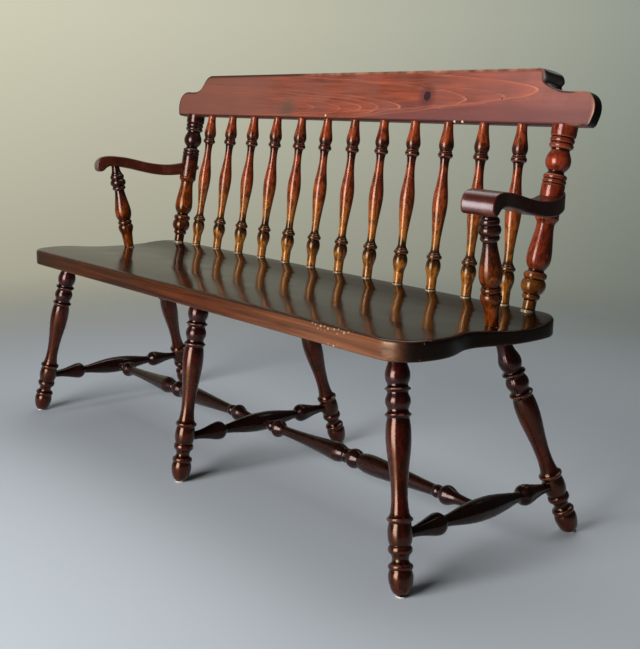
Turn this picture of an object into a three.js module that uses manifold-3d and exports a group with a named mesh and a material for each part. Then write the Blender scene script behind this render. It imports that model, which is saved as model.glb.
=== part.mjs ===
// A deacon's bench: a long plank seat on six splayed turned legs, with a spindle back under a
// shaped crest rail, sawn arms on short turned posts, and stretchers joined in the shape of a
// row of H's. Every joint is a round tenon in a blind bore, so nothing on it moves.
// Millimetres, +Z up, +X along the bench, the front towards -Y, the floor at z = 0.

import * as THREE from 'three';
import { mergeVertices } from 'three/addons/utils/BufferGeometryUtils.js';
import Module from 'manifold-3d';

const wasm = await Module();
wasm.setup();

// Clearances
const gap = 0.3;              // between a tenon and its bore, and between resting faces
const overrun = 10;           // how far a cutting body passes the face it cuts through

// Seat plank: depths are measured back from its front edge, heights up from the floor
const seatHeight = 440;       // level strip under the spindles
const seatThickness = 33.8;
const seatLength = 1428;
const seatDepth = 431;
const seatScoop = 8.7;        // how far the seat dips below the level strip

// Back: spindles and posts stand in the seat and carry the crest rail
const spindleCount = 12;
const spindleSeatInset = 8.5; // from the seat's rear edge
const spindleSeatGap = 71.8;  // from the post's axis to the end spindle's, at the seat
const spindleCrestGap = 95.35; // and at the crest rail
const spindleRadius = 16.1;
const spindleSeatTenonLength = 22;
const spindleCrestTenonLength = 18;
const spindleCrestTenonRadius = 5.5;

const postSeatInset = 20.7;
const postEndInset = 86.7;    // from the seat's end
const postSplay = 8.7;        // how far it leans outwards
const postRadius = 24.3;
const postSeatTenonLength = 24;
const postCrestTenonLength = 26;
const postCrestTenonRadius = 5.5;
const postJointShare = 0.915; // the plain length at the arm, as a share of the post's radius

// Crest rail
const crestUnderside = 786.5;
const crestOverhang = 41.7;   // from the seat's rear edge back to the middle of its thickness
const spindleCrestOffset = 4; // from that middle forward to the spindles' heads
const postCrestOffset = 5;    // and back to the posts' heads
const crestEndInset = 6;      // how far each end stops short of the seat's
const crestHeight = 109.5;
const crestThickness = 24;
const crestEarReach = 147;    // from the rail's end in to where its full height starts

// Arms and their front posts
const armPostSeatInset = 160; // from the seat's rear edge
const armPostEndInset = 54.7; // from the seat's end
const armPostRake = 31.7;     // how far it leans forward
const armPostSplay = 8.7;     // how far it leans outwards
const armPostRadius = 21.5;
const armPostSeatTenonLength = 17;
const armPostTopTenonLength = 15;
const armUnderside = 649;     // where the front post meets the arm
const armNoseReach = 53.2;    // from the front post's axis forward to the nose
const armTailReach = 21.1037; // from beside the back post's axis on to the arm's end
const armThickness = 31;
const armHandWidth = 70;
const armCheek = 6.1283;      // wood left outside the notch for the back post
const armTurn = 20.6;         // degrees that the arm is turned outwards, seen from above
const armRoll = 3.7;          // degrees that the arm's outer edge leans down

// Screw through the back post into the arm, under a wooden button
const screwHeight = 646;
const screwBearing = 57;      // degrees from the bench's length to the button, round the post
const screwShankRadius = 2.4;
const screwHeadRadius = 4.6;
const screwHeadLength = 3.5;
const screwHeadDepth = 8.5;   // from the post's face down to the screw's head
const screwReach = 62;
const screwTipShare = 0.8;    // how far along the shank its point starts to taper
const buttonFlatDepth = 1.2;  // the flat cut on the post's round side for the button to rest on
const buttonStemRadius = 5;
const buttonStemLength = 6;
const buttonHeadRadius = 6.2;
const buttonHeadHeight = 5.6;
const buttonDomeShares = [[1, 0], [1, 0.3], [0.8, 0.75], [0, 1]];

// Legs: the feet spread out past the seat's bores
const frontLegSetback = 73.5;
const frontLegRake = 56.8;    // how far its foot stands in front of its head
const backLegInset = 93.6;    // from the seat's rear edge
const backLegRake = 143.1;    // how far its foot stands behind its head
const endLegInset = 93;       // from the seat's end
const endLegSplay = 87;       // how far its foot stands further out than its head
const legRadius = 22.9;
const legTenonLength = 20;

// Foot glides nailed under the legs
const glideRadius = 9.3;
const glideThickness = 3;
const glideNailRadius = 1.2;
const glideNailLength = 12;
const glideDiscShares = [[0, 0], [0.86, 0], [1, 0.4], [0.93, 1]];

// Stretchers
const stretcherDropShare = 0.757;   // how far down the legs the stretchers stand
const crossStretcherRadius = 21.3;
const longStretcherRadius = 21;
const tenonStop = 3;                // from a stretcher's end to the axis of what it enters

// Facets round the turned pieces
const slenderSides = 8;
const stoutSides = 10;
const boreSides = 10;

// Turned outlines, from the lower end up: share of the length, share of the largest radius
const legTurningShares = [
  [-0.018, 0.38], [0.007, 0.42], [0.019, 0.65], [0.038, 0.81], [0.069, 0.93], [0.112, 0.84],
  [0.122, 0.93], [0.155, 0.62], [0.188, 0.91], [0.204, 0.81], [0.23, 0.93], [0.258, 0.95],
  [0.296, 0.83], [0.31, 0.96], [0.327, 0.82], [0.386, 0.62], [0.441, 0.64], [0.603, 0.95],
  [0.656, 0.965], [0.726, 0.83], [0.742, 1], [0.763, 0.81], [0.796, 0.97], [0.827, 0.79],
  [0.845, 0.98], [0.866, 0.79], [0.901, 0.965], [0.975, 0.655], [1, 0.63],
];
const spindleTurningShares = [
  [0, 0.66], [0.083, 0.68], [0.144, 0.975], [0.182, 0.82], [0.204, 1], [0.224, 0.7],
  [0.244, 0.56], [0.305, 0.57], [0.47, 0.93], [0.526, 0.99], [0.603, 0.87], [0.704, 0.6],
  [0.772, 0.58], [0.798, 0.68], [0.817, 0.965], [0.842, 0.77], [0.877, 0.965], [1, 0.59],
];
const postTurningShares = [
  [0, 0.52], [0.064, 0.52], [0.083, 0.69], [0.095, 0.69], [0.118, 0.91], [0.145, 0.965],
  [0.186, 0.82], [0.2, 0.9], [0.227, 0.61], [0.25, 0.84], [0.281, 0.96], [0.364, 0.88],
  [0.472, 0.69], [0.494, 0.865], [0.517, 0.915], [0.674, 0.915], [0.684, 0.84], [0.696, 0.915],
  [0.707, 0.84], [0.722, 0.915], [0.739, 0.915], [0.761, 0.61], [0.781, 0.88], [0.815, 0.985],
  [0.852, 0.87], [0.878, 0.72], [0.901, 0.95], [0.915, 0.835], [0.932, 0.945], [0.943, 0.86],
  [0.955, 0.985], [1, 1],
];
const armPostTurningShares = [
  [0, 0.57], [0.19, 0.69], [0.225, 0.87], [0.252, 0.93], [0.3, 0.745], [0.318, 0.855],
  [0.355, 0.72], [0.409, 0.95], [0.441, 1], [0.5, 0.945], [0.65, 0.66], [0.705, 0.605],
  [0.73, 0.65], [0.748, 0.815], [0.768, 0.73], [0.814, 0.955], [0.855, 0.76], [0.886, 0.845],
  [0.91, 0.705], [0.964, 0.52], [1, 0.456],
];
// The cross stretcher is the same both ways from its middle: share of half its length
const crossTurningShares = [
  [0, 1], [0.1, 0.98], [0.22, 0.845], [0.43, 0.51], [0.477, 0.47], [0.497, 0.72], [0.515, 0.86],
  [0.55, 0.93], [0.61, 0.89], [0.745, 0.59], [0.83, 0.445], [1, 0.4],
];
const longTurningShares = [
  [0, 0.405], [0.035, 0.41], [0.058, 0.49], [0.064, 0.62], [0.073, 0.62], [0.078, 0.55],
  [0.093, 0.905], [0.101, 0.95], [0.111, 0.905], [0.134, 0.55], [0.143, 0.515], [0.19, 0.55],
  [0.408, 0.985], [0.426, 0.9], [0.442, 0.68], [0.449, 0.775], [0.457, 0.705], [0.475, 0.98],
  [0.484, 1], [0.494, 0.93], [0.504, 0.74], [0.512, 0.69], [0.533, 0.92], [0.554, 0.99],
  [0.583, 0.975], [0.825, 0.515], [0.833, 0.62], [0.842, 0.62], [0.846, 0.56], [0.863, 0.905],
  [0.872, 0.95], [0.883, 0.885], [0.896, 0.665], [0.913, 0.5], [0.942, 0.43], [1, 0.405],
];

// Seat outline at one end: share of the depth, share of half the length
const seatEndShares = [
  [0, 0.896], [0.007, 0.932], [0.028, 0.959], [0.06, 0.978], [0.102, 0.99], [0.162, 0.998],
  [0.22, 1], [0.267, 0.996], [0.302, 0.989], [0.341, 0.979], [0.383, 0.969], [0.422, 0.965],
  [0.464, 0.966], [0.515, 0.973], [0.58, 0.986], [0.631, 0.994], [0.684, 0.998], [0.754, 0.999],
  [0.824, 0.997], [0.88, 0.991], [0.921, 0.979], [0.953, 0.963], [0.981, 0.943], [0.997, 0.916],
  [1, 0.885],
];
// Seat top across its depth: share of the depth, share of the scoop above the level strip
const seatTopShares = [
  [0, -0.55], [0.003, -0.14], [0.009, 0.14], [0.018, 0.27], [0.05, 0.29], [0.14, 0.28],
  [0.255, 0.17], [0.37, -0.2], [0.487, -0.61], [0.6, -0.9], [0.665, -1], [0.735, -1],
  [0.8, -0.57], [0.86, -0.17], [0.91, 0], [0.988, 0], [0.996, -0.12], [1, -0.45],
];

// Crest rail's end, from its lower corner up: share of the ear's reach in, share of the height
const crestEndShares = [
  [0.082, 0], [0.048, 0.03], [0.024, 0.11], [0.003, 0.22], [0, 0.29], [0.014, 0.4],
  [0.061, 0.5], [0.136, 0.57], [0.238, 0.6], [0.374, 0.594], [0.476, 0.596], [0.571, 0.61],
  [0.646, 0.645], [0.71, 0.71], [0.755, 0.79], [0.796, 0.868], [0.85, 0.94], [0.918, 0.986],
  [1, 1],
];

// Arm seen from the side: share of its length back from the nose, share of its thickness
// above the underside at the front post
const armTopShares = [
  [0, -0.006], [0.003, 0.3], [0.011, 0.535], [0.042, 0.832], [0.079, 0.955], [0.125, 0.994],
  [0.207, 0.942], [0.298, 0.855], [0.389, 0.687], [0.499, 0.439], [0.6, 0.297], [0.725, 0.268],
  [0.838, 0.387], [0.91, 0.503], [1, 0.66],
];
const armBottomShares = [
  [1, -0.274], [0.89, -0.513], [0.808, -0.648], [0.692, -0.684], [0.579, -0.58], [0.47, -0.384],
  [0.302, -0.045], [0.191, 0.103], [0.138, 0.123], [0.107, 0.045], [0.088, -0.065],
  [0.067, -0.242], [0.047, -0.345], [0.022, -0.29], [0.006, -0.16],
];
// Arm seen from above: share of its length back from the nose, share of the hand's width
// outside the front post; the end point lies within the back post, and the notch cuts it off
const armOuterShares = [
  [0, 0.43], [0.029, 0.434], [0.152, 0.517], [0.274, 0.539], [0.397, 0.623], [0.52, 0.776],
  [0.643, 0.889], [0.766, 0.985], [0.888, 1.01], [0.94, 0.985], [0.985, 0.93], [1, 0.89],
];
const armEndShare = [0.906, 0.543];
const armInnerShares = [
  [0.853, 0.343], [0.766, 0.311], [0.643, 0.264], [0.52, 0.124], [0.397, -0.004], [0.274, -0.156],
  [0.152, -0.38], [0.029, -0.469], [0, -0.474],
];

const quarterTurn = Math.PI / 2;
const degree = Math.PI / 180;
const skyward = new THREE.Vector3(0, 0, 1);

// A closed geometry as a solid: vertices merged by position, slivers at the poles left out
function solid(geometry) {
  const bare = geometry.clone();
  bare.deleteAttribute('normal');
  bare.deleteAttribute('uv');
  const merged = mergeVertices(bare);
  const corners = merged.index.array;
  const triangles = [];
  for (let i = 0; i < corners.length; i += 3) {
    const [a, b, c] = [corners[i], corners[i + 1], corners[i + 2]];
    if (a !== b && b !== c && c !== a) triangles.push(a, b, c);
  }
  const mesh = new wasm.Mesh({
    numProp: 3,
    vertProperties: new Float32Array(merged.attributes.position.array),
    triVerts: new Uint32Array(triangles),
  });
  return new wasm.Manifold(mesh);
}

function skin(body) {
  const mesh = body.getMesh();
  const geometry = new THREE.BufferGeometry();
  geometry.setAttribute('position', new THREE.BufferAttribute(mesh.vertProperties, 3));
  geometry.setIndex(new THREE.BufferAttribute(mesh.triVerts, 1));
  geometry.computeVertexNormals();
  return geometry;
}

// Turns and moves a body that stands on the origin so that its axis runs from one point to another
function aim(geometry, from, to) {
  const turn = new THREE.Quaternion().setFromUnitVectors(skyward, to.clone().sub(from).normalize());
  return geometry.applyQuaternion(turn).translate(from.x, from.y, from.z);
}

// A cutter for a round hole: its flat facets, not its corners, stand at the radius
function rod(from, to, radius, sides = boreSides) {
  const length = from.distanceTo(to);
  const corner = radius / Math.cos(Math.PI / sides);
  const geometry = new THREE.CylinderGeometry(corner, corner, length, sides);
  geometry.rotateX(quarterTurn).translate(0, 0, length / 2);
  return solid(aim(geometry, from, to));
}

// The point a given length past the end of the line from one point to another
function beyond(from, to, length) {
  return to.clone().add(to.clone().sub(from).setLength(length));
}

// A turned body along +Z with a tenon below its outline and another above it
function turned(outline, lower, upper, sides) {
  const start = outline[0][0] - lower.length;
  const end = outline[outline.length - 1][0] + upper.length;
  const points = [[start, 0], [start, lower.radius], ...outline, [end, upper.radius], [end, 0]];
  if (upper.shouldered) points.splice(-2, 0, [end - upper.length, upper.radius]);
  const profile = points.map(([height, radius]) => new THREE.Vector2(radius, height));
  return new THREE.LatheGeometry(profile, sides).rotateX(quarterTurn);
}

function scaled(shares, length, radius) {
  return shares.map(([along, out]) => [along * length, out * radius]);
}

// An outline drawn in two directions, carried along the third, from one value to another
function prism(points, from, to) {
  const shape = new THREE.Shape(points.map(([a, b]) => new THREE.Vector2(a, b)));
  const geometry = new THREE.ExtrudeGeometry(shape, { depth: to - from, bevelEnabled: false });
  return geometry.translate(0, 0, from);
}

// The same with the outline drawn in depth and height and carried along the bench
function sideways(geometry) {
  const [alongX, alongY] = [new THREE.Vector3(1, 0, 0), new THREE.Vector3(0, 1, 0)];
  return geometry.applyMatrix4(new THREE.Matrix4().makeBasis(alongY, skyward, alongX));
}

function smooth(points, count) {
  const curve = new THREE.SplineCurve(points.map(([a, b]) => new THREE.Vector2(a, b)));
  return curve.getPoints(count).map((p) => [p.x, p.y]);
}

function finish(colour, roughness, metalness = 0) {
  return () => new THREE.MeshStandardMaterial({ color: colour, roughness, metalness });
}
const seatFinish = finish('#4a241a', 0.22);
const legFinish = finish('#561f14', 0.3);
const spindleFinish = finish('#7a3a1d', 0.3);
const crestFinish = finish('#8a4637', 0.35);
const armFinish = finish('#4b1f18', 0.3);
const glideFinish = finish('#d9d3c8', 0.5);
const screwFinish = finish('#8d8a84', 0.35, 1);

const bench = new THREE.Group();

function add(name, geometry, material) {
  const mesh = new THREE.Mesh(geometry, material());
  mesh.name = name;
  bench.add(mesh);
  return mesh;
}

const sides = [['left', -1], ['right', 1]];
const point = (x, y, z) => new THREE.Vector3(x, y, z);

// Places that keep their distance from the seat's rear edge
const crestSetback = seatDepth + crestOverhang;
const spindleSeatSetback = seatDepth - spindleSeatInset;
const spindleCrestSetback = crestSetback - spindleCrestOffset;
const postSeatSetback = seatDepth - postSeatInset;
const postCrestSetback = crestSetback + postCrestOffset;
const armPostSeatSetback = seatDepth - armPostSeatInset;
const backLegSetback = seatDepth - backLegInset;

// Places that keep their distance from the seat's ends
const seatReach = seatLength / 2;
const crestReach = seatReach - crestEndInset;
const postSeatSpread = seatReach - postEndInset;
const postCrestSpread = postSeatSpread + postSplay;
const spindlePitchSeat = 2 * (postSeatSpread - spindleSeatGap) / (spindleCount - 1);
const spindlePitchCrest = 2 * (postCrestSpread - spindleCrestGap) / (spindleCount - 1);
const armPostSeatSpread = seatReach - armPostEndInset;
const armPostTopSpread = armPostSeatSpread + armPostSplay;
const endLegSpread = seatReach - endLegInset;
const endFootSpread = endLegSpread + endLegSplay;

// The crest rail leans back as the back posts do, and the uprights meet its slanting underside
const crestLean = Math.atan2(postCrestSetback - postSeatSetback, crestUnderside - seatHeight);
const crestNormal = point(0, Math.sin(crestLean), Math.cos(crestLean));

function underCrest(x, setback) {
  return point(x, setback, crestUnderside - (setback - crestSetback) * Math.tan(crestLean));
}

// How far below the rail a shoulder of a given radius stops, so that its rim keeps the gap
function shoulderDrop({ foot, head }, radius) {
  return gap + radius * Math.tan(head.clone().sub(foot).angleTo(crestNormal));
}

// Where each upright stands in the seat and what it reaches
const spindles = [];
for (let i = 0; i < spindleCount; i += 1) {
  const place = i - (spindleCount - 1) / 2;
  spindles.push({
    name: `spindle_${String(i + 1).padStart(2, '0')}`,
    foot: point(place * spindlePitchSeat, spindleSeatSetback, seatHeight),
    head: underCrest(place * spindlePitchCrest, spindleCrestSetback),
  });
}
const posts = sides.map(([name, side]) => ({
  name: `back_post_${name}`,
  side,
  foot: point(side * postSeatSpread, postSeatSetback, seatHeight),
  head: underCrest(side * postCrestSpread, postCrestSetback),
}));

// The seat's height above the floor at a depth, read off its scooped outline
function seatTop(depth) {
  const share = depth / seatDepth;
  const next = seatTopShares.findIndex(([along]) => along >= share);
  const [[a, low], [b, high]] = [seatTopShares[next - 1], seatTopShares[next]];
  return seatHeight + seatScoop * (low + (high - low) * (share - a) / (b - a));
}
const armPosts = sides.map(([name, side]) => ({
  name: `arm_post_${name}`,
  side,
  foot: point(side * armPostSeatSpread, armPostSeatSetback, seatTop(armPostSeatSetback)),
  head: point(side * armPostTopSpread, armPostSeatSetback - armPostRake, armUnderside),
}));

const seatUnderside = seatHeight - seatThickness;
const rows = [['left', -1], ['middle', 0], ['right', 1]];
const legs = [];
for (const [row, side] of rows) {
  for (const [end, legSetback, footSetback] of [
    ['front', frontLegSetback, frontLegSetback - frontLegRake],
    ['back', backLegSetback, backLegSetback + backLegRake],
  ]) {
    legs.push({
      name: `leg_${end}_${row}`,
      row,
      end,
      foot: point(side * endFootSpread, footSetback, 0),
      head: point(side * endLegSpread, legSetback, seatUnderside),
    });
  }
}

// Cross stretchers join each front leg to the back leg behind it
const legPoint = (leg) => leg.head.clone().lerp(leg.foot, stretcherDropShare);
const crossStretchers = rows.map(([row]) => {
  const [from, to] = legs.filter((leg) => leg.row === row).map(legPoint);
  return { name: `cross_stretcher_${row}`, row, from, to, middle: from.clone().add(to).divideScalar(2) };
});
const [leftCross, middleCross, rightCross] = crossStretchers;
const longStretchers = [
  { name: 'long_stretcher_left', from: leftCross.middle, to: middleCross.middle },
  { name: 'long_stretcher_right', from: middleCross.middle, to: rightCross.middle },
];

// Seat: the outline seen from above, met by the scooped outline seen from the end, then bored
{
  const end = seatEndShares.map(([along, out]) => [out * seatReach, along * seatDepth]);
  const outline = [...end, ...end.map(([x, y]) => [-x, y]).reverse()];
  const plan = solid(prism(outline, seatUnderside - overrun, seatHeight + overrun));
  const top = seatTopShares.map(([along, up]) => [along * seatDepth, seatHeight + up * seatScoop]);
  const section = [...top, [seatDepth, seatUnderside], [0, seatUnderside]];
  let body = plan.intersect(solid(sideways(prism(section, -seatReach - overrun, seatReach + overrun))));
  const sunk = (upright, radius, depth) => {
    const { foot, head } = upright;
    body = body.subtract(rod(beyond(head, foot, depth + gap), beyond(head, foot, -overrun), radius + gap));
  };
  const spindleBore = spindleTurningShares[0][1] * spindleRadius;
  const postBore = postTurningShares[0][1] * postRadius;
  const armPostBore = armPostTurningShares[0][1] * armPostRadius;
  for (const spindle of spindles) sunk(spindle, spindleBore, spindleSeatTenonLength);
  for (const post of posts) sunk(post, postBore, postSeatTenonLength);
  for (const post of armPosts) sunk(post, armPostBore, armPostSeatTenonLength);
  for (const { foot, head } of legs) {
    const radius = legTurningShares[legTurningShares.length - 1][1] * legRadius;
    const boreEnd = beyond(foot, head, legTenonLength + gap);
    body = body.subtract(rod(beyond(foot, head, -overrun), boreEnd, radius + gap));
  }
  add('seat', skin(body), seatFinish);
}

// Spindles: straight into the seat below, a thinner tenon in the crest rail above
for (const spindle of spindles) {
  const { name, foot, head } = spindle;
  const drop = shoulderDrop(spindle, spindleRadius);
  const outline = scaled(spindleTurningShares, foot.distanceTo(head) - drop, spindleRadius);
  const geometry = turned(
    outline,
    { length: spindleSeatTenonLength, radius: outline[0][1] },
    { length: spindleCrestTenonLength, radius: spindleCrestTenonRadius, shouldered: true },
    slenderSides,
  );
  const mesh = add(name, skin(solid(geometry)), spindleFinish);
  mesh.position.copy(foot);
  mesh.quaternion.setFromUnitVectors(skyward, head.clone().sub(foot).normalize());
}

// The screw's line through a back post: from the button on its inner rear to the arm outside it
function screwLine({ side, foot, head }) {
  const centre = foot.clone().lerp(head, (screwHeight - foot.z) / (head.z - foot.z));
  const out = point(-side * Math.cos(screwBearing * degree), Math.sin(screwBearing * degree), 0);
  const jointRadius = postJointShare * postRadius;
  const at = (depth) => centre.clone().addScaledVector(out, jointRadius - depth);
  return { at, out };
}

// Back posts: a plain length for the arm's notch, a shouldered tenon in the crest rail,
// and a counterbored hole for the arm's screw and its button
for (const post of posts) {
  const { name, foot, head } = post;
  const drop = shoulderDrop(post, postRadius);
  const outline = scaled(postTurningShares, foot.distanceTo(head) - drop, postRadius);
  const geometry = turned(
    outline,
    { length: postSeatTenonLength, radius: outline[0][1] },
    { length: postCrestTenonLength, radius: postCrestTenonRadius, shouldered: true },
    boreSides,
  );
  const { at } = screwLine(post);
  const body = solid(aim(geometry, foot, head))
    .subtract(rod(at(-overrun), at(buttonFlatDepth), buttonHeadRadius + gap))
    .subtract(rod(at(-overrun), at(screwHeadDepth + screwHeadLength + gap), buttonStemRadius + gap))
    .subtract(rod(at(screwHeadDepth), at(screwReach), screwShankRadius + gap));
  add(name, skin(body), legFinish);
}

// Crest rail: one board with ogee shoulders and rounded ears, leaning back with the posts
{
  const end = crestEndShares.map(
    ([inward, up]) => [crestReach - inward * crestEarReach, up * crestHeight],
  );
  const outline = [...end, ...end.map(([x, z]) => [-x, z]).reverse()];
  const board = prism(outline, -crestThickness / 2, crestThickness / 2);
  board.rotateX(quarterTurn - crestLean).translate(0, crestSetback, crestUnderside);
  let body = solid(board);
  const bored = ({ foot, head }, radius, depth) => {
    body = body.subtract(rod(beyond(foot, head, -overrun), beyond(foot, head, depth + gap), radius + gap));
  };
  for (const spindle of spindles) bored(spindle, spindleCrestTenonRadius, spindleCrestTenonLength);
  for (const post of posts) bored(post, postCrestTenonRadius, postCrestTenonLength);
  add('crest_rail', skin(body), crestFinish);
}

// Arm posts: straight into the seat below and the arm above
for (const { name, foot, head } of armPosts) {
  const outline = scaled(armPostTurningShares, foot.distanceTo(head), armPostRadius);
  const geometry = turned(
    outline,
    { length: armPostSeatTenonLength, radius: outline[0][1] },
    { length: armPostTopTenonLength, radius: outline[outline.length - 1][1] },
    stoutSides,
  );
  const mesh = add(name, skin(solid(geometry)), spindleFinish);
  mesh.position.copy(foot);
  mesh.quaternion.setFromUnitVectors(skyward, head.clone().sub(foot).normalize());
}

// Arms: sawn to one outline from the side and another from above, turned and rolled outwards,
// bored for the front post and notched round the outer front of the back post
armPosts.forEach((armPost, index) => {
  const { side, foot, head } = armPost;
  const post = posts[index];
  const notchRadius = postJointShare * postRadius;
  const armAxis = point(-side * Math.sin(armTurn * degree), Math.cos(armTurn * degree), 0);
  const outward = point(side * Math.cos(armTurn * degree), Math.sin(armTurn * degree), 0);
  const beside = post.foot.clone().lerp(post.head, (head.z - post.foot.z) / (post.head.z - post.foot.z));
  const toPost = beside.sub(head);
  const armLength = armNoseReach + toPost.dot(armAxis) + armTailReach;
  const reachOut = toPost.dot(outward) + notchRadius + gap + armCheek;
  const fromSide = ([along, up]) => [along * armLength - armNoseReach, up * armThickness];
  const fromAbove = ([along, out]) => [
    side * out * (armHandWidth + (reachOut - armHandWidth) * along), along * armLength - armNoseReach,
  ];
  const section = [...smooth(armTopShares.map(fromSide), 20), ...smooth(armBottomShares.map(fromSide), 20)];
  const plan = [
    ...smooth(armOuterShares.map(fromAbove), 16),
    fromAbove(armEndShare),
    ...smooth(armInnerShares.map(fromAbove), 12),
  ];
  const sawnSide = solid(sideways(prism(section, -armHandWidth * 2, armHandWidth * 2)));
  const sawnPlan = solid(prism(plan, -armThickness * 2, armThickness * 2));
  const blank = skin(sawnSide.intersect(sawnPlan));
  blank.rotateY(side * armRoll * degree).rotateZ(side * armTurn * degree).translate(head.x, head.y, head.z);
  const tenonRadius = armPostTurningShares[armPostTurningShares.length - 1][1] * armPostRadius;
  const tenonDepth = armPostTopTenonLength + gap;
  const [screwFrom, screwTo] = [screwHeadDepth, screwReach + gap].map(screwLine(post).at);
  const body = solid(blank)
    .subtract(rod(beyond(foot, head, -overrun), beyond(foot, head, tenonDepth), tenonRadius + gap))
    .subtract(rod(post.foot, post.head, notchRadius + gap, boreSides * 2))
    .subtract(rod(screwFrom, screwTo, screwShankRadius + gap));
  add(`arm_${side < 0 ? 'left' : 'right'}`, skin(body), armFinish);
});

// Arm screws, and the wooden buttons that cover their heads
for (const post of posts) {
  const name = post.side < 0 ? 'left' : 'right';
  const { at, out } = screwLine(post);
  const shankLength = screwReach - screwHeadDepth - screwHeadLength;
  const screw = new THREE.LatheGeometry([
    [0, 0], [screwHeadRadius, 0], [screwHeadRadius, screwHeadLength / 2],
    [screwShankRadius, screwHeadLength],
    [screwShankRadius, screwHeadLength + shankLength * screwTipShare],
    [0, screwHeadLength + shankLength],
  ].map(([radius, height]) => new THREE.Vector2(radius, height)), boreSides).rotateX(quarterTurn);
  add(`arm_screw_${name}`, skin(solid(aim(screw, at(screwHeadDepth), at(screwReach)))), screwFinish);
  const button = new THREE.LatheGeometry([
    [0, -buttonStemLength], [buttonStemRadius, -buttonStemLength], [buttonStemRadius, gap],
    ...buttonDomeShares.map(([out, up]) => [out * buttonHeadRadius, gap + up * buttonHeadHeight]),
  ].map(([radius, height]) => new THREE.Vector2(radius, height)), boreSides).rotateX(quarterTurn);
  const rest = at(buttonFlatDepth);
  add(`screw_button_${name}`, skin(solid(aim(button, rest, rest.clone().add(out)))), legFinish);
}

// Legs: cut level for the glide, and mortised for the cross stretcher
for (const { name, row, end, foot, head } of legs) {
  const outline = scaled(legTurningShares, foot.distanceTo(head), legRadius);
  const geometry = turned(
    outline,
    { length: 0, radius: outline[0][1] },
    { length: legTenonLength, radius: outline[outline.length - 1][1] },
    stoutSides,
  );
  const cross = crossStretchers.find((stretcher) => stretcher.row === row);
  const [inside, outside] = end === 'front' ? [cross.from, cross.to] : [cross.to, cross.from];
  const mortise = crossTurningShares[crossTurningShares.length - 1][1] * crossStretcherRadius + gap;
  const clear = legRadius + overrun;
  const sole = glideThickness + gap;
  const nail = point(foot.x, foot.y, glideThickness + glideNailLength + gap);
  const underfoot = new THREE.BoxGeometry(legRadius * 2, legRadius * 2, legRadius);
  underfoot.translate(foot.x, foot.y, sole - legRadius / 2);
  const body = solid(aim(geometry, foot, head))
    .subtract(solid(underfoot))
    .subtract(rod(point(foot.x, foot.y, 0), nail, glideNailRadius + gap))
    .subtract(rod(beyond(outside, inside, gap - tenonStop), beyond(outside, inside, -clear), mortise));
  add(name, skin(body), legFinish);
}

// Foot glides: a disc with its nail in one piece
for (const { foot, row, end } of legs) {
  const profile = [
    ...glideDiscShares.map(([out, up]) => [out * glideRadius, up * glideThickness]),
    [glideNailRadius, glideThickness],
    [glideNailRadius, glideThickness + glideNailLength * screwTipShare],
    [0, glideThickness + glideNailLength],
  ].map(([radius, height]) => new THREE.Vector2(radius, height));
  const glide = new THREE.LatheGeometry(profile, boreSides).rotateX(quarterTurn);
  add(`glide_${end}_${row}`, skin(solid(glide)), glideFinish).position.set(foot.x, foot.y, 0);
}

// Cross stretchers: mortised at the middle for the long ones that meet there
for (const { name, row, from, to, middle } of crossStretchers) {
  const half = from.distanceTo(to) / 2 - tenonStop;
  const outward = scaled(crossTurningShares, half, crossStretcherRadius);
  const inward = outward.slice(1).reverse().map(([along, out]) => [-along, out]);
  const none = { length: 0, radius: outward[outward.length - 1][1] };
  const geometry = turned([...inward, ...outward], none, none, stoutSides);
  geometry.translate(0, 0, from.distanceTo(to) / 2);
  let body = solid(aim(geometry, from, to));
  const mortise = longTurningShares[0][1] * longStretcherRadius + gap;
  for (const direction of row === 'left' ? [1] : row === 'right' ? [-1] : [-1, 1]) {
    const [near, far] = [tenonStop - gap, crossStretcherRadius * 2];
    const at = (distance) => middle.clone().add(point(direction * distance, 0, 0));
    body = body.subtract(rod(at(near), at(far), mortise));
  }
  add(name, skin(body), legFinish);
}

// Long stretchers, from cross stretcher to cross stretcher
for (const { name, from, to } of longStretchers) {
  const length = from.distanceTo(to) - tenonStop * 2;
  const outline = scaled(longTurningShares, length, longStretcherRadius);
  const none = { length: 0, radius: outline[0][1] };
  const mesh = add(name, skin(solid(turned(outline, none, none, stoutSides))), legFinish);
  mesh.position.copy(from).add(point(tenonStop, 0, 0));
  mesh.quaternion.setFromUnitVectors(skyward, to.clone().sub(from).normalize());
}

// The origin is on the floor under the middle of the bench's length and depth
bench.updateMatrixWorld(true);
const middle = new THREE.Box3().setFromObject(bench, true).getCenter(point(0, 0, 0));
const origin = new THREE.Group();
bench.position.set(-middle.x, -middle.y, 0);
origin.add(bench);

export default origin;
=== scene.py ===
import bpy
import numpy as np
from mathutils import Matrix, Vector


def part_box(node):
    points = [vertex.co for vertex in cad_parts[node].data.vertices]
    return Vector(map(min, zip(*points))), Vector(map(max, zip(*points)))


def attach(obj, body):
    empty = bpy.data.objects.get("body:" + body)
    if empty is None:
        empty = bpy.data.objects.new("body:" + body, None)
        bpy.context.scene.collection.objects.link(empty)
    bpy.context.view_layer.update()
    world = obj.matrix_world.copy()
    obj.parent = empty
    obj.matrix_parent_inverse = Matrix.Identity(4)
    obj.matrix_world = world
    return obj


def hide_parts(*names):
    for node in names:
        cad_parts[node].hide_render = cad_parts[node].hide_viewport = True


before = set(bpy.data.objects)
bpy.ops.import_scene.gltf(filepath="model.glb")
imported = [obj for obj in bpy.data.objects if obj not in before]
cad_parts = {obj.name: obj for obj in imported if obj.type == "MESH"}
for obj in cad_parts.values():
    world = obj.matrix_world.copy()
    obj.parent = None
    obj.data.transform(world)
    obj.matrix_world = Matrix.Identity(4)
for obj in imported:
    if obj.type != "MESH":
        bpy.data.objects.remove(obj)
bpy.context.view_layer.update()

# Foot glides
# Nylon discs nailed under the feet so that the bench slides without marking the floor. They
# are moulded in a milky white, have gone dull with dust, and their rims are rounded.

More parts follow.
